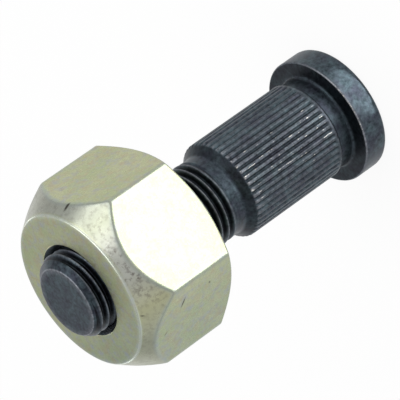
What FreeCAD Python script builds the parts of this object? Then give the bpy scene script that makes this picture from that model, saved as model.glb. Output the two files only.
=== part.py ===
"""Truck wheel hub bolt with its hexagon wheel nut, standing on the bolt's head.

Millimetres. The bolt's axis is +Z, and the origin is the centre of the head's outer face.
Two sub-parts: the bolt, forged and rolled in one piece, and the nut that runs on its thread.
The thread's helix is too fine for the solids: the bolt's thread is a cylinder at its crests,
and the nut's bore clears that cylinder.
"""

import FreeCAD
import Part
import Sketcher
import math
import os

# Driving dimensions: millimetres, degrees for the angles, and one count.
SIZES = {
    # threaded end and its chamfered point
    "thread_diameter": 19.8,
    "thread_length": 41.4,
    "point_depth": 1.6,
    "point_length": 1.6,
    # plain stretch where the thread runs out, a little under its crests
    "plain_relief": 0.2,
    "plain_length": 3.4,
    # bevelled shoulder that rises from the plain stretch to the shank
    "shoulder_height": 2.1,
    "shoulder_angle": 45.0,
    "shoulder_fillet": 0.8,
    # serrated shank, which is pressed into the hub
    "shank_length": 26.1,
    "serration_count": 48,
    "groove_width": 0.62,
    "groove_depth": 0.5,
    "collar_length": 0.6,
    # relieved neck between the shank and the head
    "neck_relief": 0.7,
    "neck_length": 4.2,
    "neck_fillet": 0.7,
    # head, a plain disc that stands out past the shank
    "head_overhang": 3.35,
    "head_thickness": 6.5,
    "head_face_round": 1.0,
    "head_seat_chamfer": 0.4,
    # nut: hexagon, cone at the outer end, chamfer at the seat
    "nut_across_flats": 41.0,
    "nut_height": 26.0,
    "nut_face_inset": 2.05,
    "nut_cone_angle": 35.0,
    "nut_seat_inset": 1.3,
    "nut_seat_angle": 30.0,
    # nut's bore: running clearance on the crests, and a countersink at each end
    "thread_clearance": 0.05,
    "countersink_width": 1.35,
    "countersink_depth": 1.6,
    # how far the bolt's end stands out of the nut
    "point_standout": 4.2,
}

SHEET = "Sizes"

# A cutting outline reaches this many times the nut's half width, well past its corners.
CUT_REACH = 1.3


class Measure:
    """A length as a number, with the expression that the document keeps for it."""

    def __init__(self, value, text):
        self.value = value
        self.text = text

    def __add__(self, other):
        return Measure(self.value + other.value, f"({self.text} + {other.text})")

    def __sub__(self, other):
        return Measure(self.value - other.value, f"({self.text} - {other.text})")

    def __mul__(self, other):
        return Measure(self.value * other.value, f"({self.text} * {other.text})")

    def __truediv__(self, other):
        return Measure(self.value / other.value, f"({self.text} / {other.text})")

    def __neg__(self):
        return Measure(-self.value, f"(-{self.text})")

    def root(self):
        return Measure(math.sqrt(self.value), f"sqrt({self.text})")


def plain(value):
    """A number that no size drives, such as the two in a half."""
    return Measure(value, str(value))


def size(name):
    """One driving dimension, bound to its cell."""
    return Measure(SIZES[name], f"{SHEET}.{name}")


def trig(function, name, share=1):
    """The sin, cos or tan of an angle in the sheet, or of a share of that angle."""
    value = getattr(math, function)(math.radians(SIZES[name] * share))
    return Measure(value, f"{function}({SHEET}.{name} * {share} deg)")


ZERO = plain(0)
TWO = plain(2)


def write_sheet(doc):
    """The spreadsheet, with one named cell for each driving dimension."""
    sheet = doc.addObject("Spreadsheet::Sheet", SHEET)
    for row, (name, value) in enumerate(SIZES.items(), start=1):
        sheet.set(f"A{row}", name)
        sheet.set(f"B{row}", str(value))
        sheet.setAlias(f"B{row}", name)
    doc.recompute()


def new_sketch(body, name, role):
    """An empty sketch on one of the body's own origin planes."""
    plane = next(item for item in body.Origin.OriginFeatures if item.Role == role)
    sketch = body.newObject("Sketcher::SketchObject", name)
    sketch.AttachmentSupport = [(plane, "")]
    sketch.MapMode = "FlatFace"
    return sketch


def bind(sketch, constraint, measure):
    """Add a dimension to a sketch and tie it to the sheet."""
    index = sketch.addConstraint(constraint)
    sketch.setExpression(f"Constraints[{index}]", measure.text)


def arc_between(start, end, radius, side):
    """The short arc from start to end, its centre on the left of the way for side 1, right for -1."""
    way = end - start
    left = FreeCAD.Vector(-way.y, way.x, 0).normalize()
    centre_offset = math.sqrt(max(radius ** 2 - way.Length ** 2 / 4, 0))
    middle = (start + end) / 2 + left * (side * (centre_offset - radius))
    return Part.Arc(start, middle, end)


def draw_outline(sketch, corners, arcs=None):
    """A closed outline whose corners are bound to the sheet.

    arcs gives (radius, side) for each corner that an arc leaves in place of a line.
    """
    arcs = arcs or {}
    points = [FreeCAD.Vector(across.value, along.value, 0) for across, along in corners]
    # a sketch numbers an arc's two ends counter-clockwise, whichever way it was drawn
    first_end = [2 if number in arcs and arcs[number][1] < 0 else 1 for number in range(len(points))]
    for number, start in enumerate(points):
        end = points[(number + 1) % len(points)]
        if number in arcs:
            radius, side = arcs[number]
            sketch.addGeometry(arc_between(start, end, radius.value, side))
        else:
            sketch.addGeometry(Part.LineSegment(start, end))
    for number, (across, along) in enumerate(corners):
        before = (number - 1) % len(points)
        here = first_end[number]
        sketch.addConstraint(Sketcher.Constraint("Coincident", before, 3 - first_end[before], number, here))
        bind(sketch, Sketcher.Constraint("DistanceX", -1, 1, number, here, across.value), across)
        bind(sketch, Sketcher.Constraint("DistanceY", -1, 1, number, here, along.value), along)
    for number, (radius, side) in arcs.items():
        bind(sketch, Sketcher.Constraint("Radius", number, radius.value), radius)


def turn_about_axis(body, kind, name, sketch):
    """A full Revolution or Groove of a sketch about the body's Z axis."""
    feature = body.newObject(kind, name)
    feature.Profile = sketch
    feature.ReferenceAxis = (sketch, ["V_Axis"])
    feature.Angle = 360


def make_bolt(doc):
    """The hub bolt: head, neck, serrated shank, bevelled shoulder, plain stretch and threaded end."""
    body = doc.addObject("PartDesign::Body", "hub_bolt")
    thread_r = size("thread_diameter") / TWO
    plain_r = thread_r - size("plain_relief")
    shank_r = plain_r + size("shoulder_height")
    neck_r = shank_r - size("neck_relief")
    head_r = shank_r + size("head_overhang")
    seat_z = size("head_thickness")
    shank_z = seat_z + size("neck_length")
    shoulder_z = shank_z + size("shank_length")
    plain_z = shoulder_z + size("shoulder_height") / trig("tan", "shoulder_angle")
    thread_z = plain_z + size("plain_length")
    end_z = thread_z + size("thread_length")
    # the fillet touches the bevel and the plain stretch this far from where they would meet
    foot = size("shoulder_fillet") * trig("tan", "shoulder_angle", 0.5)
    bevel_end_r = plain_r + foot * trig("sin", "shoulder_angle")
    bevel_end_z = plain_z - foot * trig("cos", "shoulder_angle")

    blank = new_sketch(body, "bolt_profile", "XZ_Plane")
    corners = [
        (ZERO, ZERO),
        (head_r - size("head_face_round"), ZERO),
        (head_r, size("head_face_round")),
        (head_r, seat_z - size("head_seat_chamfer")),
        (head_r - size("head_seat_chamfer"), seat_z),
        (neck_r + size("neck_fillet"), seat_z),
        (neck_r, seat_z + size("neck_fillet")),
        (neck_r, shank_z),
        (shank_r, shank_z),
        (shank_r, shoulder_z),
        (bevel_end_r, bevel_end_z),
        (plain_r, plain_z + foot),
        (plain_r, thread_z),
        (thread_r, thread_z + size("plain_relief")),
        (thread_r, end_z - size("point_length")),
        (thread_r - size("point_depth"), end_z),
        (ZERO, end_z),
    ]
    arcs = {
        1: (size("head_face_round"), 1),
        5: (size("neck_fillet"), -1),
        10: (size("shoulder_fillet"), -1),
    }
    draw_outline(blank, corners, arcs)
    turn_about_axis(body, "PartDesign::Revolution", "turned_blank", blank)
    doc.recompute()

    # one V groove, drawn to twice its depth and width so that it clears the shank's surface
    section = new_sketch(body, "groove_section", "XY_Plane")
    groove_z = shank_z + size("collar_length")
    section.setExpression("AttachmentOffset.Base.z", groove_z.text)
    lip_r = shank_r + size("groove_depth")
    draw_outline(section, [
        (shank_r - size("groove_depth"), ZERO),
        (lip_r, -size("groove_width")),
        (lip_r, size("groove_width")),
    ])
    doc.recompute()
    groove = body.newObject("PartDesign::Pocket", "serration_groove")
    groove.Profile = section
    groove.Reversed = True
    groove.setExpression("Length", (plain_z - groove_z).text)
    doc.recompute()

    ring = body.newObject("PartDesign::PolarPattern", "serrations")
    ring.Originals = [groove]
    ring.Axis = (section, ["N_Axis"])
    ring.Angle = 360
    ring.setExpression("Occurrences", size("serration_count").text)
    body.Tip = ring
    doc.recompute()
    return body, end_z


def make_nut(doc, bolt_end_z):
    """The wheel nut: a hexagon with a long cone at its outer end and a flat chamfer at its seat."""
    body = doc.addObject("PartDesign::Body", "wheel_nut")
    half_flats = size("nut_across_flats") / TWO
    corner_r = half_flats * TWO / plain(3).root()
    height = size("nut_height")
    outside_r = half_flats * plain(CUT_REACH)

    hexagon = new_sketch(body, "nut_hexagon", "XY_Plane")
    draw_outline(hexagon, [
        (corner_r, ZERO),
        (corner_r / TWO, half_flats),
        (-corner_r / TWO, half_flats),
        (-corner_r, ZERO),
        (-corner_r / TWO, -half_flats),
        (corner_r / TWO, -half_flats),
    ])
    bar = body.newObject("PartDesign::Pad", "hexagon_bar")
    bar.Profile = hexagon
    bar.setExpression("Length", height.text)
    doc.recompute()

    # outer end: the cone leaves a round face and runs down over the hexagon's corners
    face_r = half_flats - size("nut_face_inset")
    cone_run = (outside_r - face_r) / trig("tan", "nut_cone_angle")
    cone = new_sketch(body, "outer_cone", "XZ_Plane")
    draw_outline(cone, [(face_r, height), (outside_r, height - cone_run), (outside_r, height)])
    turn_about_axis(body, "PartDesign::Groove", "outer_cone_cut", cone)
    doc.recompute()

    # seat end: the chamfer's angle is measured from the face
    seat_r = half_flats - size("nut_seat_inset")
    chamfer_run = (outside_r - seat_r) * trig("tan", "nut_seat_angle")
    chamfer = new_sketch(body, "seat_chamfer", "XZ_Plane")
    draw_outline(chamfer, [(seat_r, ZERO), (outside_r, ZERO), (outside_r, chamfer_run)])
    turn_about_axis(body, "PartDesign::Groove", "seat_chamfer_cut", chamfer)
    doc.recompute()

    # bore, countersunk at both ends
    bore_r = size("thread_diameter") / TWO + size("thread_clearance")
    sink_r = bore_r + size("countersink_width")
    sink_z = size("countersink_depth")
    bore = new_sketch(body, "bore_profile", "XZ_Plane")
    draw_outline(bore, [
        (ZERO, ZERO),
        (sink_r, ZERO),
        (bore_r, sink_z),
        (bore_r, height - sink_z),
        (sink_r, height),
        (ZERO, height),
    ])
    turn_about_axis(body, "PartDesign::Groove", "bore_cut", bore)
    seat_z = bolt_end_z - size("point_standout") - height
    body.setExpression("Placement.Base.z", seat_z.text)
    doc.recompute()
    return body


def check(doc, bodies):
    """Stop if an object failed or a sub-part has no sound shape."""
    for item in doc.Objects:
        if {"Invalid", "Error"} & set(item.State):
            raise RuntimeError(f"{item.Label} failed: {item.State}")
    for body in bodies:
        if body.Shape.isNull() or not body.Shape.isValid():
            raise RuntimeError(f"{body.Label} has no sound shape")
        print(f"{body.Label}: {len(body.Shape.Solids)} solid, {body.Shape.Volume:.1f} cubic mm")


def main():
    """Build the document, check it and write one STEP file for each sub-part."""
    doc = FreeCAD.newDocument("hub_bolt_and_nut")
    write_sheet(doc)
    bolt, bolt_end_z = make_bolt(doc)
    nut = make_nut(doc, bolt_end_z)
    check(doc, (bolt, nut))
    os.makedirs("parts", exist_ok=True)
    for body in (bolt, nut):
        body.Shape.exportStep(f"parts/{body.Label}.step")


main()
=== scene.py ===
"""Looks of a truck wheel hub bolt and its hexagon nut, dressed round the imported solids.

The scene is in metres, in the part's own frame: +Z is the bolt's axis, and the head's outer face
stands on the floor at Z = 0. Sizes in the classes below are millimetres and
degrees, and shares run from 0 to 1.
"""

import logging
import math
from dataclasses import dataclass
from enum import Enum
from typing import Any, Callable, Mapping, NamedTuple, Optional, Sequence, Union

import bmesh
import bpy
from mathutils import Matrix, Vector


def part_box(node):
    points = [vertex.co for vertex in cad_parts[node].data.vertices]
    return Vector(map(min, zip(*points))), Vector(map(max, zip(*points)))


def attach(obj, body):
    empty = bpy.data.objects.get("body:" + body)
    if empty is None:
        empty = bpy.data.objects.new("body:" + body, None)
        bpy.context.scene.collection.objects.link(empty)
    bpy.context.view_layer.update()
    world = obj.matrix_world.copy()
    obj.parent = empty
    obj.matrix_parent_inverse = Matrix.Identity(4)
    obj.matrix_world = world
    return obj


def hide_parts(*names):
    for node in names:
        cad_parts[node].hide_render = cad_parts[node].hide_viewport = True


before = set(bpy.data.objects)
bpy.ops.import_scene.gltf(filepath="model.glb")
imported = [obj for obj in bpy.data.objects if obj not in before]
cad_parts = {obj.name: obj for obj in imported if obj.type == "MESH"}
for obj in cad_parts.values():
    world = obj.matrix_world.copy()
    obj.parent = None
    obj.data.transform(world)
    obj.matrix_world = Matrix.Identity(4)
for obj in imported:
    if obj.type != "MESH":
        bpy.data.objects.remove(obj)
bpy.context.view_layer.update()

log = logging.getLogger("hub_bolt")

MM = 0.001
# Points that lie closer than this become one.
MERGE_MM = 0.002
# Lifts a share that a rounding error leaves just short of a whole number.
ROUND_OFF = 1e-6

# Sockets of the Mix node by number, because their names repeat for each data type.
FACTOR = 0
NUMBER_A, NUMBER_B, MIXED_NUMBER = 2, 3, 0
COLOUR_A, COLOUR_B, MIXED_COLOUR = 6, 7, 2

# Values that a noise pattern mostly keeps to, as inputs of the Map Range node.
NOISE_RANGE = {"From Min": 0.3, "From Max": 0.7}

Colour = tuple[float, float, float, float]
Socket = bpy.types.NodeSocket
Tree = bpy.types.NodeTree


class Body(Enum):
    """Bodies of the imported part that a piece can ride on."""

    BOLT = "bolt"
    NUT = "nut"


class Slot(Enum):
    """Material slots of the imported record."""

    BOLT = "blackened_steel"
    NUT = "zinc_plated_steel"


class Mask(Enum):
    """Point attributes, from 0 to 1, that a mesh hands to its finish."""

    # Bare specks, which on the bolt gather on its lit side as painted glints.
    SPECKS_AND_GLINTS = "bare_specks"
    # Rubbing, and painted highlights on the bolt's edges and on the nut's face edge.
    RUB_AND_HIGHLIGHT = "rubbed_bright"
    # Painted shade in the bolt's corners, grooves and recesses, and smudges of dirt round the nut's bore.
    SHADE_AND_SMUDGE = "oily_corner"
    CONE = "turned_cone"
    # Painted blue-grey sheen along the nut's flats' rims and corners.
    EDGE = "thin_edge"
    FACE = "turned_face"


class Blend(Enum):
    """Ways to lay a tint over a colour."""

    COVER = "MIX"
    FILTER = "MULTIPLY"


class Spot(NamedTuple):
    """A point of a turned blank: its radius and height in mm, and its angle."""

    radius: float
    height: float
    angle: float


# The values of a point's masks, and a cut point's new radius in mm, its new angle and its masks.
Masks = Mapping[Mask, float]
Cut = tuple[float, float, Masks]


@dataclass(frozen=True)
class Layer:
    """A tint that is laid over a colour, as far as its share says."""

    share: Union[Socket, float]
    tint: Union[Socket, Colour]
    blend: Blend = Blend.COVER


def linear(hex_code: str) -> Colour:
    """Turn an sRGB hex colour into linear light.

    Args:
        hex_code: six hex digits after a number sign.

    Returns:
        Red, green, blue and an alpha of 1.
    """
    shares = [int(hex_code[place:place + 2], 16) / 255 for place in (1, 3, 5)]
    red, green, blue = [s / 12.92 if s <= 0.04045 else ((s + 0.055) / 1.055) ** 2.4 for s in shares]
    return red, green, blue, 1.0


def per_metre(size_mm: float) -> float:
    """Scale of a pattern whose features are size_mm wide."""
    return 1 / (size_mm * MM)


def add_node(tree: Tree, kind: str, inputs: Optional[Mapping[Union[str, int], Any]] = None,
             **settings: Any) -> bpy.types.Node:
    """Add a node, set it up and link it.

    Args:
        tree: node tree that takes the node.
        kind: Blender's name for the node.
        inputs: value or output socket for each input, by the input's name or number.
        settings: the node's own properties.

    Returns:
        The new node.
    """
    node = tree.nodes.new(kind)
    for name, value in settings.items():
        setattr(node, name, value)
    for name, value in (inputs or {}).items():
        if isinstance(value, Socket):
            tree.links.new(value, node.inputs[name])
        else:
            node.inputs[name].default_value = value
    return node


def blank_material(name: str) -> bpy.types.Material:
    """Start a material.

    Args:
        name: name of the real material.

    Returns:
        The material, with an empty node tree.
    """
    material = bpy.data.materials.new(name)
    material.use_nodes = True
    material.node_tree.nodes.clear()
    return material


def lay(tree: Tree, colour: Socket, layers: Sequence[Layer]) -> Socket:
    """Lay tints over a colour.

    Args:
        tree: node tree of the finish.
        colour: colour to start from.
        layers: the tints, in order.

    Returns:
        The colour with all of them.
    """
    for layer in layers:
        colour = add_node(tree, "ShaderNodeMix", {
            FACTOR: layer.share, COLOUR_A: colour, COLOUR_B: layer.tint},
            data_type="RGBA", blend_type=layer.blend.value).outputs[MIXED_COLOUR]
    return colour


def metal_surface(tree: Tree, colour: Socket, roughness: Socket, grain: Socket,
                  strength: float, height_mm: float) -> None:
    """End a finish with a metal shader that has a raised grain.

    Args:
        tree: node tree of the finish.
        colour: colour of the skin.
        roughness: roughness of the skin.
        grain: pattern of the grain.
        strength: how far the grain shows, from 0 to 1.
        height_mm: height of the grain.
    """
    bump = add_node(tree, "ShaderNodeBump", {
        "Height": grain, "Strength": strength, "Distance": height_mm * MM})
    shader = add_node(tree, "ShaderNodeBsdfPrincipled", {
        "Base Color": colour, "Metallic": 1.0, "Roughness": roughness, "Normal": bump.outputs["Normal"]})
    add_node(tree, "ShaderNodeOutputMaterial", {"Surface": shader.outputs["BSDF"]})


def smooth_step(value: float, low: float, high: float) -> float:
    """Rise smoothly from 0 at low to 1 at high."""
    share = min(max((value - low) / (high - low), 0.0), 1.0)
    return share * share * (3 - 2 * share)


def nearing(value: float, limit: float, start: float, full: float) -> float:
    """Rise smoothly from 0 at start short of a limit to 1 at full short of it."""
    return smooth_step(value, limit - start, limit - full)


def one_side(angle: float, middle: float, spread: float) -> float:
    """Fall from 1 at the middle, in degrees, to nothing well beyond the spread."""
    away = abs((math.degrees(angle) - middle + 180) % 360 - 180)
    return math.exp(-(away / spread) ** 2)


def soft_min(first: float, second: float, blend: float) -> float:
    """The smaller of two sizes, rounded off where they are within blend of each other."""
    overlap = max(blend - abs(first - second), 0.0) / blend
    return min(first, second) - overlap * overlap * blend / 4


@dataclass(frozen=True)
class Corner:
    """One corner of a turned profile.

    radius and height place it, edge is how far its rounding reaches along both sides, and step is
    the spacing of the rings on the way to the next corner.
    """

    radius: float
    height: float
    edge: float = 0.0
    step: float = 1.5


class TurnedMesh:
    """A mesh spun from a profile, then cut to shape by moving its rings' points."""

    EDGE_SEGMENTS = 4
    # How much longer the way past a point of a straight line may be than the line, in metres.
    ON_LINE = 1e-9

    def __init__(self) -> None:
        """Start with nothing."""
        self.bm = bmesh.new()
        self.masks = {mask: self.bm.verts.layers.float.new(mask.value) for mask in Mask}

    def turn(self, corners: Sequence[Corner], sectors: int, steps: int) -> list[bmesh.types.BMVert]:
        """Spin a profile about the Z axis: one sector first, then copies of it all the way round.

        Args:
            corners: the profile, in order.
            sectors: how many equal sectors make the full turn.
            steps: how many faces go round one sector.

        Returns:
            The spun points.
        """
        bm = self.bm
        points = [bm.verts.new((c.radius * MM, 0, c.height * MM)) for c in corners]
        for start, end in zip(points, points[1:]):
            bm.edges.new((start, end))
        places = [point.co.copy() for point in points]
        for point, corner in zip(points, corners):
            if corner.edge:
                bmesh.ops.bevel(bm, geom=[point], offset=corner.edge * MM, offset_type="OFFSET",
                                affect="VERTICES", segments=self.EDGE_SEGMENTS, profile=0.5, material=-1,
                                clamp_overlap=True)
        for start, end, corner in zip(places, places[1:], corners):
            self._divide(start, end, corner.step * MM)
        lines = [edge for edge in bm.edges if edge.is_wire]
        profile = list(dict.fromkeys(point for edge in lines for point in edge.verts))
        about = {"cent": (0, 0, 0), "axis": (0, 0, 1), "dvec": (0, 0, 0), "use_merge": False}
        share = math.tau / sectors
        before = set(bm.verts) - set(profile)
        bmesh.ops.spin(bm, geom=profile + lines, angle=share, steps=steps, use_duplicate=False, **about)
        sector = [point for point in bm.verts if point not in before]
        faces = list(dict.fromkeys(face for point in sector for face in point.link_faces))
        edges = list(dict.fromkeys(edge for face in faces for edge in face.edges))
        bmesh.ops.spin(bm, geom=sector + edges + faces, angle=math.tau - share, steps=sectors - 1,
                       use_duplicate=True, **about)
        spun = [point for point in bm.verts if point not in before]
        bmesh.ops.remove_doubles(bm, verts=spun, dist=MERGE_MM * MM)
        return [point for point in spun if point.is_valid]

    def _divide(self, start: Vector, end: Vector, step: float) -> None:
        """Divide the profile's straight stretch between two corners.

        Args:
            start: place of the first corner.
            end: place of the second corner.
            step: longest edge that is left, in metres.
        """
        for edge in [e for e in self.bm.edges if e.is_wire]:
            middle = (edge.verts[0].co + edge.verts[1].co) / 2
            aside = (middle - start).length + (end - middle).length - (end - start).length
            cuts = math.ceil(edge.calc_length() / step) - 1
            if aside < self.ON_LINE and cuts > 0:
                bmesh.ops.subdivide_edges(self.bm, edges=[edge], cuts=cuts)

    def cut(self, points: Sequence[bmesh.types.BMVert], shape: Callable[[Spot], Cut]) -> None:
        """Move points to the radius and angle that a shape gives them.

        Args:
            points: points to move.
            shape: takes a point and gives its new radius, its new angle and the values of its masks.
        """
        for point in points:
            radius = point.co.xy.length / MM
            if radius < MERGE_MM:
                continue
            angle = math.atan2(point.co.y, point.co.x)
            radius, angle, values = shape(Spot(radius, point.co.z / MM, angle))
            point.co.xy = radius * MM * math.cos(angle), radius * MM * math.sin(angle)
            for mask, value in values.items():
                point[self.masks[mask]] = value

    def rim(self, height: float) -> list[bmesh.types.BMEdge]:
        """Open edges at a height in mm."""
        return [e for e in self.bm.edges
                if e.is_boundary and all(abs(v.co.z / MM - height) < MERGE_MM for v in e.verts)]

    def finish(self, name: str) -> bpy.types.Object:
        """Close the mesh and turn it into an object at the origin.

        Args:
            name: name of the piece.

        Returns:
            The new object, smooth shaded.
        """
        bmesh.ops.remove_doubles(self.bm, verts=self.bm.verts, dist=MERGE_MM * MM)
        bmesh.ops.recalc_face_normals(self.bm, faces=self.bm.faces)
        for face in self.bm.faces:
            face.smooth = True
        mesh = bpy.data.meshes.new(name)
        self.bm.to_mesh(mesh)
        self.bm.free()
        piece = bpy.data.objects.new(name, mesh)
        bpy.context.scene.collection.objects.link(piece)
        return piece


@dataclass(frozen=True)
class Mark:
    """A scratch or a dent: a thin dark stroke between two points on a surface, in mm."""

    start: tuple[float, float, float]
    end: tuple[float, float, float]
    width: float
    depth: float

    def mask(self, tree: Tree, place: Socket) -> Socket:
        """Add the nodes that find the stroke.

        Args:
            tree: node tree of the finish.
            place: object coordinates.

        Returns:
            A value that is highest in the middle of the stroke and 0 outside it.
        """
        start, end = Vector(self.start) * MM, Vector(self.end) * MM
        along = end - start
        half_width = self.width * MM / 2
        stroke = add_node(tree, "ShaderNodeMapping", {
            "Vector": place, "Location": (start + end) / 2,
            "Rotation": along.to_track_quat("X", "Z").to_euler(),
            "Scale": (along.length / 2, half_width, half_width)}, vector_type="TEXTURE")
        ball = add_node(tree, "ShaderNodeTexGradient", {"Vector": stroke.outputs["Vector"]},
                        gradient_type="SPHERICAL")
        return add_node(tree, "ShaderNodeMath", {0: ball.outputs["Fac"], 1: self.depth},
                        operation="MULTIPLY").outputs["Value"]


@dataclass(frozen=True)
class BlackOxide:
    """Black oxide on forged steel: a thin, satin, blue-black skin.

    The eye sees a dark grey that drifts between teal and violet, a lighter grey on edges from rubbing,
    which on the bolt's lit side also stands for painted highlights, bare bright steel in a few specks, some
    of them painted glints, and painted shade that darkens the corners, grooves and recesses.
    """

    name: str = "black_oxide_on_forged_steel"
    skin: str = "#414A51"
    teal: str = "#47545A"
    violet: str = "#3C404A"
    # Lighter grey of rubbing, also the painted highlights on the bolt's edges.
    rub_and_highlight: str = "#8A8C92"
    bare: str = "#D6D4CF"
    # Painted shade: a dark tint laid over corners, grooves and recesses.
    painted_shade: str = "#655F5F"
    mottle_mm: float = 3.2
    drift_span: tuple[float, float] = (0.36, 0.64)
    # The real grain is too fine to show, so it is drawn coarser.
    grain_mm: float = 0.9
    grain_shade: tuple[float, float] = (0.5, 1.5)
    grain_height_mm: float = 0.02
    grain_strength: float = 0.6
    speck_mm: float = 0.5
    speck_stretch: float = 0.25
    speck_edge: tuple[float, float] = (1.0, 1.1)
    roughness: tuple[float, float] = (0.34, 0.48)
    bare_roughness: float = 0.28

    def make(self) -> bpy.types.Material:
        """Build the material.

        Returns:
            The material, with its nodes.
        """
        material = blank_material(self.name)
        tree = material.node_tree
        place = add_node(tree, "ShaderNodeTexCoord").outputs["Object"]
        grain = add_node(tree, "ShaderNodeTexNoise", {
            "Vector": place, "Scale": per_metre(self.grain_mm), "Detail": 3.0,
            "Roughness": 0.65}).outputs["Fac"]
        specks = self._specks(tree, place)
        colour = lay(tree, self._skin(tree, place, grain), [Layer(specks, linear(self.bare))])
        satin = add_node(tree, "ShaderNodeMapRange", {
            "Value": grain, **NOISE_RANGE, "To Min": self.roughness[0], "To Max": self.roughness[1]})
        rough = add_node(tree, "ShaderNodeMix", {
            FACTOR: specks, NUMBER_A: satin.outputs["Result"], NUMBER_B: self.bare_roughness},
            data_type="FLOAT")
        metal_surface(tree, colour, rough.outputs[MIXED_NUMBER], grain,
                      self.grain_strength, self.grain_height_mm)
        return material

    def _skin(self, tree: Tree, place: Socket, grain: Socket) -> Socket:
        """Colour the oxide: its drift, its rubbing and painted highlights, its grain and the painted shade
        in its corners.

        Args:
            tree: node tree of the finish.
            place: object coordinates.
            grain: fine pattern of the skin.

        Returns:
            The colour of the skin.
        """
        mottle = add_node(tree, "ShaderNodeTexNoise", {
            "Vector": place, "Scale": per_metre(self.mottle_mm), "Detail": 4.0, "Roughness": 0.6})
        drift = add_node(tree, "ShaderNodeValToRGB", {"Fac": mottle.outputs["Fac"]})
        low, high = self.drift_span
        ramp = drift.color_ramp.elements
        ramp[0].position, ramp[0].color = low, linear(self.teal)
        ramp[1].position, ramp[1].color = high, linear(self.violet)
        ramp.new((low + high) / 2).color = linear(self.skin)
        # Rubbing and painted highlights, in a lighter grey.
        gleam = add_node(tree, "ShaderNodeAttribute", attribute_name=Mask.RUB_AND_HIGHLIGHT.value)
        shade = add_node(tree, "ShaderNodeMapRange", {
            "Value": grain, **NOISE_RANGE,
            "To Min": self.grain_shade[0], "To Max": self.grain_shade[1]})
        # Painted shade in corners, grooves and recesses.
        painted_shade = add_node(tree, "ShaderNodeAttribute", attribute_name=Mask.SHADE_AND_SMUDGE.value)
        return lay(tree, drift.outputs["Color"], [
            Layer(gleam.outputs["Fac"], linear(self.rub_and_highlight)),
            Layer(1.0, shade.outputs["Result"], Blend.FILTER),
            Layer(painted_shade.outputs["Fac"], linear(self.painted_shade), Blend.FILTER)])

    def _specks(self, tree: Tree, place: Socket) -> Socket:
        """Find the bare specks, which are drawn out along the bolt.

        Args:
            tree: node tree of the finish.
            place: object coordinates.

        Returns:
            1 in a speck and 0 outside; the mesh's mask sets how much of the skin they take.
        """
        along = add_node(tree, "ShaderNodeMapping", {
            "Vector": place, "Scale": (1, 1, self.speck_stretch)})
        rub = add_node(tree, "ShaderNodeTexNoise", {
            "Vector": along.outputs["Vector"], "Scale": per_metre(self.speck_mm), "Detail": 2.0,
            "Roughness": 0.7})
        # The mesh's mask places the specks, gathering them on the bolt's lit side as painted glints.
        edge = add_node(tree, "ShaderNodeAttribute", attribute_name=Mask.SPECKS_AND_GLINTS.value)
        height = add_node(tree, "ShaderNodeMath", {
            0: rub.outputs["Fac"], 1: edge.outputs["Fac"]}, operation="ADD")
        return add_node(tree, "ShaderNodeMapRange", {
            "Value": height.outputs["Value"],
            "From Min": self.speck_edge[0], "From Max": self.speck_edge[1]},
            interpolation_type="SMOOTHSTEP").outputs["Result"]


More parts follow.
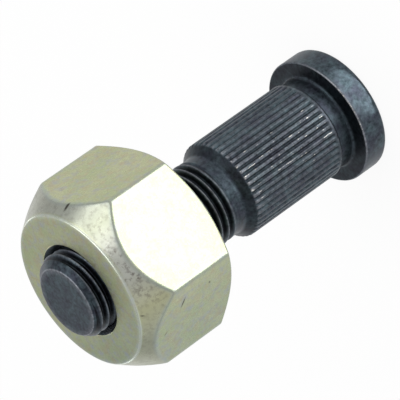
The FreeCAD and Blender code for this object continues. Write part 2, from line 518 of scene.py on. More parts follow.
@dataclass(frozen=True)
class YellowZinc:
    """Yellow chromated zinc on a cold formed nut: a thin, satin, iridescent film.

    The eye sees a pale khaki with olive, lavender and brown clouds, cooler on one side, bands of
    grey and cream round the turned cone with brown specks in them, a fine grain, a painted highlight
    round the face's rounded edge, and a painted blue-grey sheen along the edges.
    """

    name: str = "yellow_chromated_zinc"
    khaki: str = "#B1B48F"
    olive: str = "#A8B088"
    violet: str = "#A6A8A6"
    brown: str = "#AFA685"
    cool: str = "#E2E9F2"
    face: str = "#F6F8FF"
    speck: str = "#625A55"
    # Painted highlight round the face's rounded edge.
    bead: str = "#C6CECC"
    # Painted blue-grey sheen along the flats' rims and corners.
    edge: str = "#98A3A4"
    scratch: str = "#4C4A44"
    drift_mm: float = 7.0
    drift_span: tuple[float, float] = (0.38, 0.62)
    film_mm: float = 1.9
    cloud_span: tuple[float, float] = (0.48, 0.66)
    cloud_share: float = 0.75
    # The real grain is too fine to show, so it is drawn coarser.
    grain_mm: float = 0.5
    grain_shade: tuple[float, float] = (0.90, 1.10)
    grain_height_mm: float = 0.02
    grain_strength: float = 0.4
    speck_mm: float = 1.1
    speck_span: tuple[float, float] = (0.48, 0.64)
    speck_share: float = 0.85
    cool_from_mm: float = -5.0
    cool_to_mm: float = -20.0
    # Places across the cone, in mm, each with its colour and its share of specks.
    cone_bands: tuple[tuple[float, str, float], ...] = (
        (-20.0, "#9DA18C", 0.3), (-16.0, "#9DA18C", 0.3), (-11.0, "#A3A485", 0.4), (-3.0, "#BABCB2", 1.0),
        (4.0, "#B9BBB0", 0.6), (9.0, "#A8AC98", 0.45), (15.0, "#ABAFA3", 0.35), (20.0, "#A3A598", 0.3),
    )
    cone_reach_mm: float = 24.0
    roughness: tuple[float, float] = (0.24, 0.36)
    face_roughness: float = 0.55
    marks: tuple[Mark, ...] = (
        Mark((-13.77, -17.14, 68.57), (-15.39, -14.35, 69.91), 0.7, 1.6),
        Mark((-17.71, -10.32, 73.22), (-18.21, -9.46, 74.48), 0.5, 1.0),
        Mark((-14.07, -16.63, 61.66), (-14.56, -15.78, 61.27), 0.7, 1.2),
        Mark((15.5, -11.65, 78.16), (16.66, -13.08, 75.64), 0.9, 1.7),
        Mark((-11.46, -14.76, 79.20), (-12.31, -15.13, 78.04), 0.5, 1.2),
    )

    def make(self) -> bpy.types.Material:
        """Build the material.

        Returns:
            The material, with its nodes.
        """
        material = blank_material(self.name)
        tree = material.node_tree
        place = add_node(tree, "ShaderNodeTexCoord").outputs["Object"]
        cloud = add_node(tree, "ShaderNodeTexNoise", {
            "Vector": place, "Scale": per_metre(self.film_mm), "Detail": 5.0, "Roughness": 0.6})
        grain = add_node(tree, "ShaderNodeTexNoise", {
            "Vector": place, "Scale": per_metre(self.grain_mm), "Detail": 3.0,
            "Roughness": 0.6}).outputs["Fac"]
        film = self._film(tree, place, cloud.outputs["Color"], grain)
        # Painted sheen along the edges and painted highlight round the face's edge.
        edge = add_node(tree, "ShaderNodeAttribute", attribute_name=Mask.EDGE.value)
        bead = add_node(tree, "ShaderNodeAttribute", attribute_name=Mask.RUB_AND_HIGHLIGHT.value)
        colour = lay(tree, self._turned(tree, place, film), [
            Layer(edge.outputs["Fac"], linear(self.edge)),
            Layer(bead.outputs["Fac"], linear(self.bead)),
            Layer(self._scratches(tree, place), linear(self.scratch))])
        satin = add_node(tree, "ShaderNodeMapRange", {
            "Value": cloud.outputs["Fac"], **NOISE_RANGE,
            "To Min": self.roughness[0], "To Max": self.roughness[1]})
        face = add_node(tree, "ShaderNodeAttribute", attribute_name=Mask.FACE.value)
        rough = add_node(tree, "ShaderNodeMix", {
            FACTOR: face.outputs["Fac"], NUMBER_A: satin.outputs["Result"],
            NUMBER_B: self.face_roughness}, data_type="FLOAT")
        metal_surface(tree, colour, rough.outputs[MIXED_NUMBER], grain,
                      self.grain_strength, self.grain_height_mm)
        return material

    def _film(self, tree: Tree, place: Socket, cloud: Socket, grain: Socket) -> Socket:
        """Colour the chromate film: its drift, its clouds, its cooler side, its face and its grain.

        Args:
            tree: node tree of the finish.
            place: object coordinates.
            cloud: cloudy pattern, whose channels drift apart.
            grain: fine pattern of the film.

        Returns:
            The colour of the film.
        """
        drift = add_node(tree, "ShaderNodeTexNoise", {
            "Vector": place, "Scale": per_metre(self.drift_mm), "Detail": 3.0, "Roughness": 0.55})
        film = add_node(tree, "ShaderNodeValToRGB", {"Fac": drift.outputs["Fac"]})
        ramp = film.color_ramp.elements
        ramp[0].position, ramp[0].color = self.drift_span[0], linear(self.olive)
        ramp[1].position, ramp[1].color = self.drift_span[1], linear(self.khaki)
        clouds = add_node(tree, "ShaderNodeSeparateColor", {"Color": cloud})
        layers = []
        for channel, tint in (("Red", self.violet), ("Green", self.brown)):
            share = add_node(tree, "ShaderNodeMapRange", {
                "Value": clouds.outputs[channel], "From Min": self.cloud_span[0],
                "From Max": self.cloud_span[1], "To Max": self.cloud_share})
            layers.append(Layer(share.outputs["Result"], linear(tint)))
        across = add_node(tree, "ShaderNodeSeparateXYZ", {"Vector": place})
        cooler = add_node(tree, "ShaderNodeMapRange", {
            "Value": across.outputs["X"], "From Min": self.cool_from_mm * MM,
            "From Max": self.cool_to_mm * MM})
        on_face = add_node(tree, "ShaderNodeAttribute", attribute_name=Mask.FACE.value)
        shade = add_node(tree, "ShaderNodeMapRange", {
            "Value": grain, **NOISE_RANGE,
            "To Min": self.grain_shade[0], "To Max": self.grain_shade[1]})
        return lay(tree, film.outputs["Color"], [
            *layers,
            Layer(cooler.outputs["Result"], linear(self.cool), Blend.FILTER),
            Layer(on_face.outputs["Fac"], linear(self.face), Blend.FILTER),
            Layer(1.0, shade.outputs["Result"], Blend.FILTER)])

    def _turned(self, tree: Tree, place: Socket, film: Socket) -> Socket:
        """Colour the turned cone with its bands and specks, and smudge the face round the bore.

        Args:
            tree: node tree of the finish.
            place: object coordinates.
            film: colour of the film elsewhere.

        Returns:
            The colour of the whole nut, without its edges and marks.
        """
        cone = add_node(tree, "ShaderNodeAttribute", attribute_name=Mask.CONE.value).outputs["Fac"]
        smudge = add_node(tree, "ShaderNodeAttribute", attribute_name=Mask.SHADE_AND_SMUDGE.value).outputs["Fac"]
        across = add_node(tree, "ShaderNodeSeparateXYZ", {"Vector": place})
        reach = self.cone_reach_mm
        share = add_node(tree, "ShaderNodeMapRange", {
            "Value": across.outputs["X"], "From Min": -reach * MM, "From Max": reach * MM})
        bands = add_node(tree, "ShaderNodeValToRGB", {"Fac": share.outputs["Result"]})
        ramp = bands.color_ramp.elements
        ramp.remove(ramp[1])
        for number, (x, tint, specks) in enumerate(self.cone_bands):
            position = (x + reach) / (2 * reach)
            stop = ramp.new(position) if number else ramp[0]
            stop.position = position
            stop.color = (*linear(tint)[:3], specks)
        pits = add_node(tree, "ShaderNodeTexNoise", {
            "Vector": place, "Scale": per_metre(self.speck_mm), "Detail": 4.0, "Roughness": 0.7})
        pitted = add_node(tree, "ShaderNodeMapRange", {
            "Value": pits.outputs["Fac"], "From Min": self.speck_span[0],
            "From Max": self.speck_span[1], "To Max": self.speck_share})
        on_cone = add_node(tree, "ShaderNodeMath", {
            0: bands.outputs["Alpha"], 1: cone}, operation="MULTIPLY")
        where = add_node(tree, "ShaderNodeMath", {
            0: on_cone.outputs["Value"], 1: smudge}, operation="MAXIMUM")
        specked = add_node(tree, "ShaderNodeMath", {
            0: pitted.outputs["Result"], 1: where.outputs["Value"]}, operation="MULTIPLY")
        return lay(tree, film, [
            Layer(cone, bands.outputs["Color"]), Layer(specked.outputs["Value"], linear(self.speck))])

    def _scratches(self, tree: Tree, place: Socket) -> Socket:
        """Find the strongest of all the marks at a point.

        Args:
            tree: node tree of the finish.
            place: object coordinates.

        Returns:
            A value from 0 outside the marks to 1 in their middles.
        """
        masks = [mark.mask(tree, place) for mark in self.marks]
        deepest = masks[0]
        for mask in masks[1:]:
            deepest = add_node(tree, "ShaderNodeMath", {0: deepest, 1: mask},
                               operation="MAXIMUM").outputs["Value"]
        return add_node(tree, "ShaderNodeMath", {0: deepest, 1: 0.0}, operation="ADD",
                        use_clamp=True).outputs["Value"]


@dataclass(frozen=True)
class BoltWearAndPaintedLight:
    """Where the bolt's skin shows rubbing and bare specks, with painted highlights and glints on its lit
    side, and where painted shade darkens it, and how far, from 0 to 1.

    Spans are in mm, or in shares of a serration's pitch, of the way from a crest of the thread to
    its root, or of the point's length. A gleam starts and is full at its two distances from an edge.
    """

    # side is the bolt's lit side in degrees, where rubbing, painted highlights, glints and groove shade
    # gather; spread is how far round they reach and far_side what is left opposite.
    side: float = -95.0
    spread: float = 58.0
    far_side: float = 0.12
    seat_gleam: tuple[float, float] = (0.4, 0.15)
    seat_specks_and_glints: float = 0.5
    seat_shade: float = 0.55
    seat_shade_span: tuple[float, float] = (0.3, 1.2)
    neck_shade: float = 0.45
    neck_shade_span: tuple[float, float] = (0.3, 1.0)
    groove_lip: float = 0.1
    groove_shade: float = 0.44
    land_rub_and_highlight: float = 0.26
    land_specks_and_glints: float = 0.43
    land_middle_loss: float = 0.5
    tip_length: float = 0.9
    tip_rub_and_highlight: float = 0.7
    tip_specks_and_glints: float = 0.53
    collar_rub: float = 0.15
    shoulder_drop: tuple[float, float] = (0.15, 0.45)
    shoulder_shade: float = 0.55
    plain_shade: float = 0.14
    plain_blend: float = 0.3
    run_out_blend: float = 0.5
    crest_span: tuple[float, float] = (0.1, 0.3)
    crest_depth: float = 0.4
    crest_rub_and_highlight: float = 0.38
    crest_specks_and_glints: float = 0.3
    root_span: tuple[float, float] = (0.2, 0.5)
    root_depth: float = 0.02
    root_shade: float = 0.85
    end_gleam_along: tuple[float, float] = (0.2, 0.05)
    end_gleam_across: tuple[float, float] = (0.22, 0.08)
    end_rub_and_highlight: float = 0.55
    end_specks_and_glints: float = 0.35
    point_start_span: tuple[float, float] = (0.0, 0.2)
    point_end_span: tuple[float, float] = (0.85, 0.95)
    point_shade: float = 0.3

    def share(self, angle: float) -> float:
        """Share at an angle of the rubbing, painted highlights, glints and groove shade: full on the lit
        side, little on the far side.
        """
        return self.far_side + (1 - self.far_side) * one_side(angle, self.side, self.spread)


@dataclass
class HubBolt:
    """The bolt: a turned blank with rolled serrations and a rolled right-hand thread."""

    length: float
    head_radius: float
    finish: BlackOxide
    wear_and_painted_light: BoltWearAndPaintedLight = BoltWearAndPaintedLight()
    head_thickness: float = 6.5
    head_face_edge: float = 1.0
    head_seat_edge: float = 0.35
    neck_radius: float = 11.1
    neck_fillet: float = 0.7
    shank_radius: float = 11.8
    shank_start: float = 10.7
    shank_edge: float = 0.25
    shoulder_start: float = 36.8
    shoulder_edge: float = 0.3
    plain_radius: float = 9.7
    plain_start: float = 38.9
    plain_fillet: float = 0.5
    join_low: float = 39.9
    join_high: float = 40.3
    # Widths of the thread's forms are shares of the way from a crest to the root beside it.
    thread_radius: float = 9.88
    thread_depth: float = 1.15
    thread_pitch: float = 2.0
    thread_phase: float = 0.95
    thread_crest: float = 0.12
    thread_flank: float = 0.66
    thread_round: float = 0.35
    thread_round_end: float = 0.86
    run_out: tuple[float, float] = (41.0, 43.4)
    point_radius: float = 8.15
    point_length: float = 1.6
    point_edge: float = 0.14
    point_offset: float = -0.55
    # Widths of a groove and of the land's edge beside it are shares of a serration's pitch.
    groove_start: float = 11.2
    groove_depth: float = 0.5
    groove_fade: float = 0.8
    groove_half_share: float = 0.33
    land_edge_share: float = 0.06
    land_crown: float = 0.06
    serrations: int = 48
    thread_sectors: int = 8
    thread_steps: int = 16

    # Middle of a land, as a share of the pitch from the groove's root.
    LAND_MIDDLE = 0.5

    def build(self) -> bpy.types.Object:
        """Turn the blank, roll its serrations and thread, and join the two ends.

        Returns:
            The bolt as one closed mesh.
        """
        work = TurnedMesh()
        shank = work.turn(self._shank_profile(), self.serrations, len(self.tooth))
        work.cut(shank, self._serrate)
        thread = work.turn(self._thread_profile(), self.thread_sectors, self.thread_steps)
        work.cut(thread, self._thread)
        rims = work.rim(self.join_low) + work.rim(self.join_high)
        bmesh.ops.bridge_loops(work.bm, edges=rims)
        return work.finish("hub_bolt_dressed")

    def dress(self, piece: bpy.types.Object) -> None:
        """Give the bolt its finish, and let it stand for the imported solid.

        Args:
            piece: the bolt that build made.
        """
        piece.data.materials.append(self.finish.make())
        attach(piece, Body.BOLT.value)
        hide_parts("hub_bolt")

    @property
    def tooth(self) -> tuple[float, ...]:
        """Angles of one serration's points, as shares of its pitch from the groove's root."""
        half = self.groove_half_share
        side = (half / 2, half, half + self.land_edge_share)
        return (0.0, *side, self.LAND_MIDDLE, *(1 - share for share in reversed(side)))

    def _shank_profile(self) -> list[Corner]:
        """Profile from the head's face to the plain stretch under the thread."""
        return [
            Corner(0, 0, step=2.5),
            Corner(self.head_radius, 0, self.head_face_edge, step=0.8),
            Corner(self.head_radius, self.head_thickness, self.head_seat_edge, step=0.5),
            Corner(self.neck_radius, self.head_thickness, self.neck_fillet, step=0.6),
            Corner(self.neck_radius, self.shank_start, step=0.15),
            Corner(self.shank_radius, self.shank_start, self.shank_edge, step=0.12),
            Corner(self.shank_radius, self.groove_start + self.groove_fade, step=1.5),
            Corner(self.shank_radius, self.shoulder_start, self.shoulder_edge, step=0.12),
            Corner(self.plain_radius, self.plain_start, self.plain_fillet, step=0.4),
            Corner(self.plain_radius, self.join_low),
        ]

    def _thread_profile(self) -> list[Corner]:
        """Profile of the blank that takes the thread, up to the centre of the bolt's end."""
        return [
            Corner(self.plain_radius, self.join_high, step=0.12),
            Corner(self.plain_radius, self.run_out[0], step=0.12),
            Corner(self.thread_radius, self.run_out[1], step=0.125),
            Corner(self.thread_radius, self.length - self.point_length, step=0.1),
            Corner(self.point_radius, self.length, self.point_edge, step=1.5),
            Corner(0, self.length),
        ]

    def _serrate(self, spot: Spot) -> Cut:
        """Roll the straight V grooves into the shank; the head and the neck keep their shape.

        Args:
            spot: point of the blank.

        Returns:
            The point's new radius and angle, and its masks.
        """
        radius, height, angle = spot
        if height < self.shank_start - MERGE_MM:
            return radius, angle, self._head_masks(spot)
        tooth = self.tooth
        place = angle / math.tau * self.serrations
        share = tooth[round((place % 1) * len(tooth)) % len(tooth)]
        turned = (math.floor(place + ROUND_OFF) + share) / self.serrations * math.tau
        from_root = min(share, 1 - share)
        depth = self._groove_share(height)
        groove = self.groove_depth * depth * max(1 - from_root / self.groove_half_share, 0)
        crown = self.land_crown * (1 - from_root / self.LAND_MIDDLE) ** 2 * depth
        cut_radius = min(radius, self.shank_radius - max(groove, crown))
        return cut_radius, turned, self._shank_masks(spot, from_root)

    def _groove_share(self, height: float) -> float:
        """Share of the grooves' depth at a height: nothing on the collar, then all of it."""
        return smooth_step(height, self.groove_start, self.groove_start + self.groove_fade)

    def _head_masks(self, spot: Spot) -> Masks:
        """Mark the painted highlight and glints on the seat's edge, and the painted shade on the seat and
        in the neck's fillet.

        Args:
            spot: point of the blank.

        Returns:
            The point's masks.
        """
        radius, height, angle = spot
        wear_and_painted_light, seat = self.wear_and_painted_light, self.head_thickness
        # Painted highlight along the seat's edge, strongest on the lit side.
        edge = nearing(radius, self.head_radius, *wear_and_painted_light.seat_gleam) * nearing(height, seat, *wear_and_painted_light.seat_gleam)
        edge *= wear_and_painted_light.share(angle)
        # Painted shade under the seat and in the neck's fillet.
        under = smooth_step(radius, *(self.neck_radius + reach for reach in wear_and_painted_light.seat_shade_span))
        fillet = 1 - smooth_step(height, *(seat + reach for reach in wear_and_painted_light.neck_shade_span))
        shaded = max(wear_and_painted_light.seat_shade * under, wear_and_painted_light.neck_shade * fillet) * (height > seat - MERGE_MM)
        return {Mask.RUB_AND_HIGHLIGHT: edge, Mask.SPECKS_AND_GLINTS: wear_and_painted_light.seat_specks_and_glints * edge, Mask.SHADE_AND_SMUDGE: shaded}

    def _shank_masks(self, spot: Spot, from_root: float) -> Masks:
        """Mark rubbing and painted highlight on the lands and tips, the lighter collar, and painted shade
        in the grooves, past the shoulder and on the plain stretch.

        Args:
            spot: point of the blank.
            from_root: share of the pitch between the point and the nearest groove's root.

        Returns:
            The point's masks.
        """
        radius, height, angle = spot
        wear_and_painted_light, half = self.wear_and_painted_light, self.groove_half_share
        lit_side_share, depth = wear_and_painted_light.share(angle), self._groove_share(height)
        land = smooth_step(from_root, half - wear_and_painted_light.groove_lip, half)
        middle = smooth_step(from_root, half + self.land_edge_share, self.LAND_MIDDLE)
        off_shank = smooth_step(self.shank_radius - radius, *wear_and_painted_light.shoulder_drop)
        on_shank = 1 - off_shank
        on_plain = smooth_step(
            height, self.plain_start - wear_and_painted_light.plain_blend, self.plain_start + wear_and_painted_light.plain_blend)
        # Rubbing and painted highlight on the lands' edges and tips, strongest on the lit side, and painted
        # shade in the grooves.
        land_edge = land * (1 - wear_and_painted_light.land_middle_loss * middle) * lit_side_share * depth * on_shank
        tip = land * nearing(height, self.shoulder_start, wear_and_painted_light.tip_length, 0.0) * on_shank * lit_side_share
        collar = (1 - depth) * on_shank
        groove = (1 - land) * depth * on_shank * lit_side_share
        return {
            Mask.RUB_AND_HIGHLIGHT: max(wear_and_painted_light.land_rub_and_highlight * land_edge, wear_and_painted_light.tip_rub_and_highlight * tip, wear_and_painted_light.collar_rub * collar),
            Mask.SPECKS_AND_GLINTS: max(wear_and_painted_light.land_specks_and_glints * land_edge, wear_and_painted_light.tip_specks_and_glints * tip),
            Mask.SHADE_AND_SMUDGE: max(wear_and_painted_light.groove_shade * groove, wear_and_painted_light.shoulder_shade * off_shank * (1 - on_plain),
                           wear_and_painted_light.plain_shade * on_plain),
        }

    def _thread(self, spot: Spot) -> Cut:
        """Roll the thread, which runs out on the plain stretch, and draw the point off centre.

        Args:
            spot: point of the blank.

        Returns:
            The point's new radius and angle, and its masks.
        """
        radius, height, angle = spot
        turn = (height - self.thread_phase) / self.thread_pitch - angle / math.tau
        from_crest = abs((turn + 0.5) % 1 - 0.5) * 2
        rounded = smooth_step(from_crest, 0.0, self.thread_round_end)
        straight = min(max((from_crest - self.thread_crest) / self.thread_flank, 0), 1)
        depth = self.thread_depth * (rounded * self.thread_round + straight * (1 - self.thread_round))
        cut_radius = min(radius, self.thread_radius - depth * smooth_step(height, *self.run_out))
        on_point = min(max((height - self.length) / self.point_length + 1, 0), 1)
        x = cut_radius * math.cos(angle) + self.point_offset * on_point
        y = cut_radius * math.sin(angle)
        masks = self._thread_masks(spot, cut_radius, from_crest, on_point)
        return math.hypot(x, y), math.atan2(y, x), masks

    def _thread_masks(self, spot: Spot, cut_radius: float, from_crest: float, on_point: float) -> Masks:
        """Mark rubbing and painted highlight on the crests and the end's edge, and painted shade in the
        thread's roots, on its run-out and on the point.

        Args:
            spot: point of the blank.
            cut_radius: radius of the point once the thread is rolled.
            from_crest: share of the way from the nearest crest to the root.
            on_point: share of the way along the bolt's point.

        Returns:
            The point's masks.
        """
        wear_and_painted_light, start = self.wear_and_painted_light, self.run_out[0]
        radius, height, _ = spot
        fade = smooth_step(height, *self.run_out)
        # Rubbing and painted highlight on the crests and the end's edge; painted shade in the roots.
        crest = (1 - smooth_step(from_crest, *wear_and_painted_light.crest_span)) * fade
        crest *= cut_radius > self.thread_radius - wear_and_painted_light.crest_depth
        root = smooth_step(from_crest, *wear_and_painted_light.root_span) * fade * (cut_radius < radius - wear_and_painted_light.root_depth)
        end = nearing(height, self.length, *wear_and_painted_light.end_gleam_along)
        end *= nearing(radius, self.point_radius, *wear_and_painted_light.end_gleam_across)
        on_plain = 1 - smooth_step(height, start, start + wear_and_painted_light.run_out_blend)
        bevel = smooth_step(on_point, *wear_and_painted_light.point_start_span)
        bevel *= 1 - smooth_step(on_point, *wear_and_painted_light.point_end_span)
        return {
            Mask.RUB_AND_HIGHLIGHT: max(wear_and_painted_light.crest_rub_and_highlight * crest, wear_and_painted_light.end_rub_and_highlight * end),
            Mask.SPECKS_AND_GLINTS: max(wear_and_painted_light.crest_specks_and_glints * crest, wear_and_painted_light.end_specks_and_glints * end),
            Mask.SHADE_AND_SMUDGE: max(wear_and_painted_light.root_shade * root, wear_and_painted_light.plain_shade * on_plain, wear_and_painted_light.point_shade * bevel),
        }


@dataclass
class WheelNut:
    """The nut: a turned blank with six milled flats, a long cone and a countersunk bore."""

    seat: float
    face: float
    half_flats: float
    finish: YellowZinc
    # Dark finish in the bore and countersinks: painted shade.
    bore_shade_finish: BlackOxide
    face_inset: float = 2.05
    face_edge: float = 0.34
    cone_angle: float = 35.0
    seat_inset: float = 1.3
    seat_angle: float = 30.0
    seat_edge: float = 0.4
    bore_radius: float = 9.95
    countersink_width: float = 1.35
    countersink_depth: float = 1.6
    countersink_edge: float = 0.15
    blank_margin: float = 0.6
    flat_blend: float = 0.35
    corner_blend: float = 0.7
    # Where the film's masks lie, in mm and degrees, and how strong they are, from 0 to 1.
    cone_span: tuple[float, float] = (-0.2, 0.5)
    cone_start: float = 0.6
    # The bead's share is a painted highlight.
    bead_across: tuple[float, float] = (0.45, 0.2)
    bead_along: tuple[float, float] = (0.45, 0.25)
    bead_share: float = 0.5
    smudge_width: float = 4.5
    smudge_side: float = -80.0
    smudge_spread: float = 55.0
    smudge_share: float = 0.5
    # Rims and corners of the flats carry a painted sheen.
    rim_span: tuple[float, float] = (0.1, 0.7)
    rim_share: float = 0.45
    corner_span: tuple[float, float] = (0.3, 1.3)
    corner_share: float = 0.4
    flat_steps: int = 72
    ring_step: float = 0.25

    FLATS = 6
    # Angle from the middle of a flat to its corner.
    HALF_FLAT = math.pi / FLATS

    def build(self) -> bpy.types.Object:
        """Turn the blank and mill its flats.

        Returns:
            The nut as one closed mesh.
        """
        work = TurnedMesh()
        points = work.turn(self._profile(), self.FLATS, self.flat_steps)
        work.cut(points, self._mill)
        return work.finish("wheel_nut_dressed")

    def dress(self, piece: bpy.types.Object) -> None:
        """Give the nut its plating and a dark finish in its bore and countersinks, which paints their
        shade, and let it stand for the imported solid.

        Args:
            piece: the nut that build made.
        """
        piece.data.materials.append(self.finish.make())
        piece.data.materials.append(self.bore_shade_finish.make())
        # The bore and countersinks take the dark finish as painted shade.
        limit = (self.sink_radius - self.countersink_edge / 2) * MM
        for polygon in piece.data.polygons:
            if all(piece.data.vertices[number].co.xy.length < limit for number in polygon.vertices):
                polygon.material_index = 1
        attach(piece, Body.NUT.value)
        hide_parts("wheel_nut")

    @property
    def face_radius(self) -> float:
        """Radius of the end face, inside the cone."""
        return self.half_flats - self.face_inset

    @property
    def sink_radius(self) -> float:
        """Radius of the countersinks where they meet the nut's ends."""
        return self.bore_radius + self.countersink_width

    def _profile(self) -> list[Corner]:
        """Work out the blank's closed profile, from the bore over the face and the cone to the seat.

        Returns:
            The corners of the profile, in order.
        """
        outside = self.half_flats / math.cos(self.HALF_FLAT) + self.blank_margin
        seat_radius = self.half_flats - self.seat_inset
        cone_end = self.face - (outside - self.face_radius) / math.tan(math.radians(self.cone_angle))
        chamfer_end = self.seat + (outside - seat_radius) * math.tan(math.radians(self.seat_angle))
        return [
            Corner(self.bore_radius, self.seat + self.countersink_depth, step=3.0),
            Corner(self.bore_radius, self.face - self.countersink_depth, step=0.5),
            Corner(self.sink_radius, self.face, self.countersink_edge, step=0.9),
            Corner(self.face_radius, self.face, self.face_edge, step=self.ring_step),
            Corner(outside, cone_end, step=self.ring_step),
            Corner(outside, chamfer_end, step=self.ring_step),
            Corner(seat_radius, self.seat, self.seat_edge, step=0.9),
            Corner(self.sink_radius, self.seat, self.countersink_edge, step=0.5),
            Corner(self.bore_radius, self.seat + self.countersink_depth),
        ]

    def _aside(self, angle: float) -> float:
        """Angle from the middle of the nearest flat."""
        half = self.HALF_FLAT
        return half - abs((angle - half) % (2 * half) - half)

    def _hexagon(self, angle: float) -> float:
        """Work out the radius of the flats, with rounded corners.

        Args:
            angle: angle of a point.

        Returns:
            The radius at which the flats lie there.
        """
        aside = self._aside(angle)
        near = self.half_flats / math.cos(aside)
        far = self.half_flats / math.cos(2 * self.HALF_FLAT - aside)
        return soft_min(near, far, self.corner_blend)

    def _mill(self, spot: Spot) -> Cut:
        """Mill the flats.

        Args:
            spot: point of the blank.

        Returns:
            The point's new radius, its angle, and its masks.
        """
        flat = self._hexagon(spot.angle)
        return soft_min(spot.radius, flat, self.flat_blend), spot.angle, self._masks(spot, flat)

    def _masks(self, spot: Spot, flat: float) -> Masks:
        """Mark what is left of the cone, the bead's painted highlight, the smudged face, and the painted
        sheen on the flats' rims and corners.

        Args:
            spot: point of the blank.
            flat: radius of the flats there.

        Returns:
            The point's masks.
        """
        radius, height, angle = spot
        upper = height > (self.seat + self.face) / 2
        cone = upper * smooth_step(flat - radius, *self.cone_span)
        cone *= smooth_step(radius, self.face_radius, self.face_radius + self.cone_start)
        bead = nearing(radius, self.face_radius, *self.bead_across)
        bead *= nearing(height, self.face, *self.bead_along)
        on_face = float(height > self.face - MERGE_MM)
        smudge = 1 - smooth_step(radius, self.sink_radius, self.sink_radius + self.smudge_width)
        smudge *= on_face * one_side(angle, self.smudge_side, self.smudge_spread)
        rim = 1 - smooth_step(abs(flat - radius), *self.rim_span)
        to_corner = self.half_flats * (math.tan(self.HALF_FLAT) - math.tan(self._aside(angle)))
        corner = (1 - smooth_step(to_corner, *self.corner_span)) * (radius > flat)
        return {
            Mask.CONE: cone, Mask.RUB_AND_HIGHLIGHT: self.bead_share * bead, Mask.SHADE_AND_SMUDGE: self.smudge_share * smudge,
            Mask.EDGE: max(self.rim_share * rim, self.corner_share * corner), Mask.FACE: on_face,
        }


@dataclass(frozen=True)
class Softbox:
    """One soft lamp: an oblong panel that the camera doesn't see."""

    name: str
    centre: tuple[float, float, float]
    target: tuple[float, float, float]
    width: float
    height: float
    radiance: float

    def place(self) -> None:
        """Hang the lamp and point it at its target."""
        lamp = bpy.data.lights.new(self.name, "AREA")
        lamp.shape = "RECTANGLE"
        lamp.size, lamp.size_y = self.width * MM, self.height * MM
        lamp.energy = self.radiance * math.pi * lamp.size * lamp.size_y
        holder = bpy.data.objects.new(self.name, lamp)
        holder.location = Vector(self.centre) * MM
        way = Vector(self.target) - Vector(self.centre)
        holder.rotation_mode = "QUATERNION"
        holder.rotation_quaternion = way.to_track_quat("-Z", "Y")
        holder.visible_camera = False
        bpy.context.scene.collection.objects.link(holder)


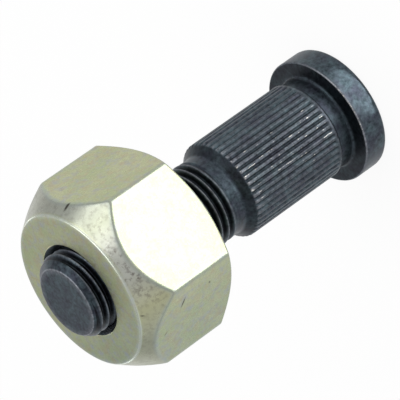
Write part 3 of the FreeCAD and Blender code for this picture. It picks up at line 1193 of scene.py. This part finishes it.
@dataclass
class Studio:
    """Floor, light and camera.

    camera_right and camera_up are the ways that the picture's sides run, and glow is how much of the
    floor's look is plain white, which leaves the rest to the object's shadow.
    """

    floor_half: float = 6000.0
    floor_drop: float = 0.05
    floor_colour: str = "#F4F4F2"
    room_colour: str = "#DADADC"
    glow: float = 0.92
    camera_place: tuple[float, float, float] = (4.54, -726.73, 458.92)
    camera_right: tuple[float, float, float] = (-0.575844, -0.408576, -0.708145)
    camera_up: tuple[float, float, float] = (0.817548, -0.283205, -0.501408)
    lens: float = 346.29
    sensor: float = 36.0
    clip: tuple[float, float] = (50.0, 20000.0)
    lamps: tuple[Softbox, ...] = (
        Softbox("top_panel", (150, 80, 560), (0, 0, 60), 260, 320, 2.6),
        Softbox("left_panel", (325, -250, 346), (0, -10, 76), 440, 230, 1.85),
        Softbox("right_panel", (-420, -110, 300), (0, -10, 76), 520, 260, 0.3),
        Softbox("back_left_panel", (215, 434, 150), (0, 0, 79), 90, 150, 2.0),
        Softbox("back_right_panel", (-215, 434, 150), (0, 0, 79), 90, 150, 2.0),
        Softbox("near_floor_strip", (2, -28, 1), (2, -28, 60), 18, 26, 2.4),
        Softbox("far_floor_strip", (0, -150, 1), (0, -150, 60), 150, 105, 3.9),
    )

    def build(self) -> None:
        """Set up the whole studio."""
        self._floor()
        self._room()
        for lamp in self.lamps:
            lamp.place()
        self._camera()
        bpy.context.scene.view_settings.view_transform = "Standard"

    def _floor(self) -> None:
        """Pale floor: white to the eye and in reflections, with the object's shadow on it."""
        bm = bmesh.new()
        bmesh.ops.create_grid(bm, x_segments=1, y_segments=1, size=self.floor_half * MM)
        bmesh.ops.translate(bm, verts=bm.verts, vec=(0, 0, -self.floor_drop * MM))
        mesh = bpy.data.meshes.new("floor")
        bm.to_mesh(mesh)
        bm.free()
        floor = bpy.data.objects.new("floor", mesh)
        bpy.context.scene.collection.objects.link(floor)
        material = blank_material("matt_white_board")
        tree = material.node_tree
        paint = add_node(tree, "ShaderNodeBsdfDiffuse", {"Color": linear(self.floor_colour)})
        glow = add_node(tree, "ShaderNodeEmission", {"Color": linear("#FFFFFF"), "Strength": 1.0})
        lit = add_node(tree, "ShaderNodeMixShader", {
            0: self.glow, 1: paint.outputs["BSDF"], 2: glow.outputs["Emission"]})
        path = add_node(tree, "ShaderNodeLightPath")
        seen = add_node(tree, "ShaderNodeMath", {
            0: path.outputs["Is Camera Ray"], 1: path.outputs["Is Glossy Ray"]}, operation="ADD")
        seen = add_node(tree, "ShaderNodeMath", {
            0: seen.outputs["Value"], 1: path.outputs["Is Transmission Ray"]},
            operation="ADD", use_clamp=True)
        board = add_node(tree, "ShaderNodeMixShader", {
            0: seen.outputs["Value"], 1: paint.outputs["BSDF"], 2: lit.outputs["Shader"]})
        add_node(tree, "ShaderNodeOutputMaterial", {"Surface": board.outputs["Shader"]})
        mesh.materials.append(material)

    def _room(self) -> None:
        """Pale room light from all round."""
        world = bpy.data.worlds.new("pale_room")
        world.use_nodes = True
        tree = world.node_tree
        tree.nodes.clear()
        light = add_node(tree, "ShaderNodeBackground", {
            "Color": linear(self.room_colour), "Strength": 1.0})
        add_node(tree, "ShaderNodeOutputWorld", {"Surface": light.outputs["Background"]})
        bpy.context.scene.world = world

    def _camera(self) -> None:
        """Camera at the photograph's place and turn."""
        right, up = Vector(self.camera_right), Vector(self.camera_up)
        turn = Matrix((right, up, right.cross(up))).transposed()
        data = bpy.data.cameras.new("camera")
        data.lens, data.sensor_width = self.lens, self.sensor
        data.clip_start, data.clip_end = self.clip[0] * MM, self.clip[1] * MM
        camera = bpy.data.objects.new("camera", data)
        camera.matrix_world = Matrix.Translation(Vector(self.camera_place) * MM) @ turn.to_4x4()
        bpy.context.scene.collection.objects.link(camera)
        bpy.context.scene.camera = camera


def main() -> None:
    """Build the bolt, the nut and the studio, in that order."""
    logging.basicConfig(level=logging.INFO, format="%(name)s: %(message)s")
    _, bolt_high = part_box("hub_bolt")
    nut_low, nut_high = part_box("wheel_nut")
    bolt = HubBolt(length=bolt_high.z / MM, head_radius=bolt_high.x / MM, finish=BlackOxide())
    nut = WheelNut(seat=nut_low.z / MM, face=nut_high.z / MM, half_flats=nut_high.y / MM,
                   finish=YellowZinc(), bore_shade_finish=BlackOxide(name="painted_shade_dark_bore"))
    for maker in (bolt, nut):
        piece = maker.build()
        maker.dress(piece)
        log.info("%s: %d faces", piece.name, len(piece.data.polygons))
    Studio().build()


if __name__ == "__main__":
    main()
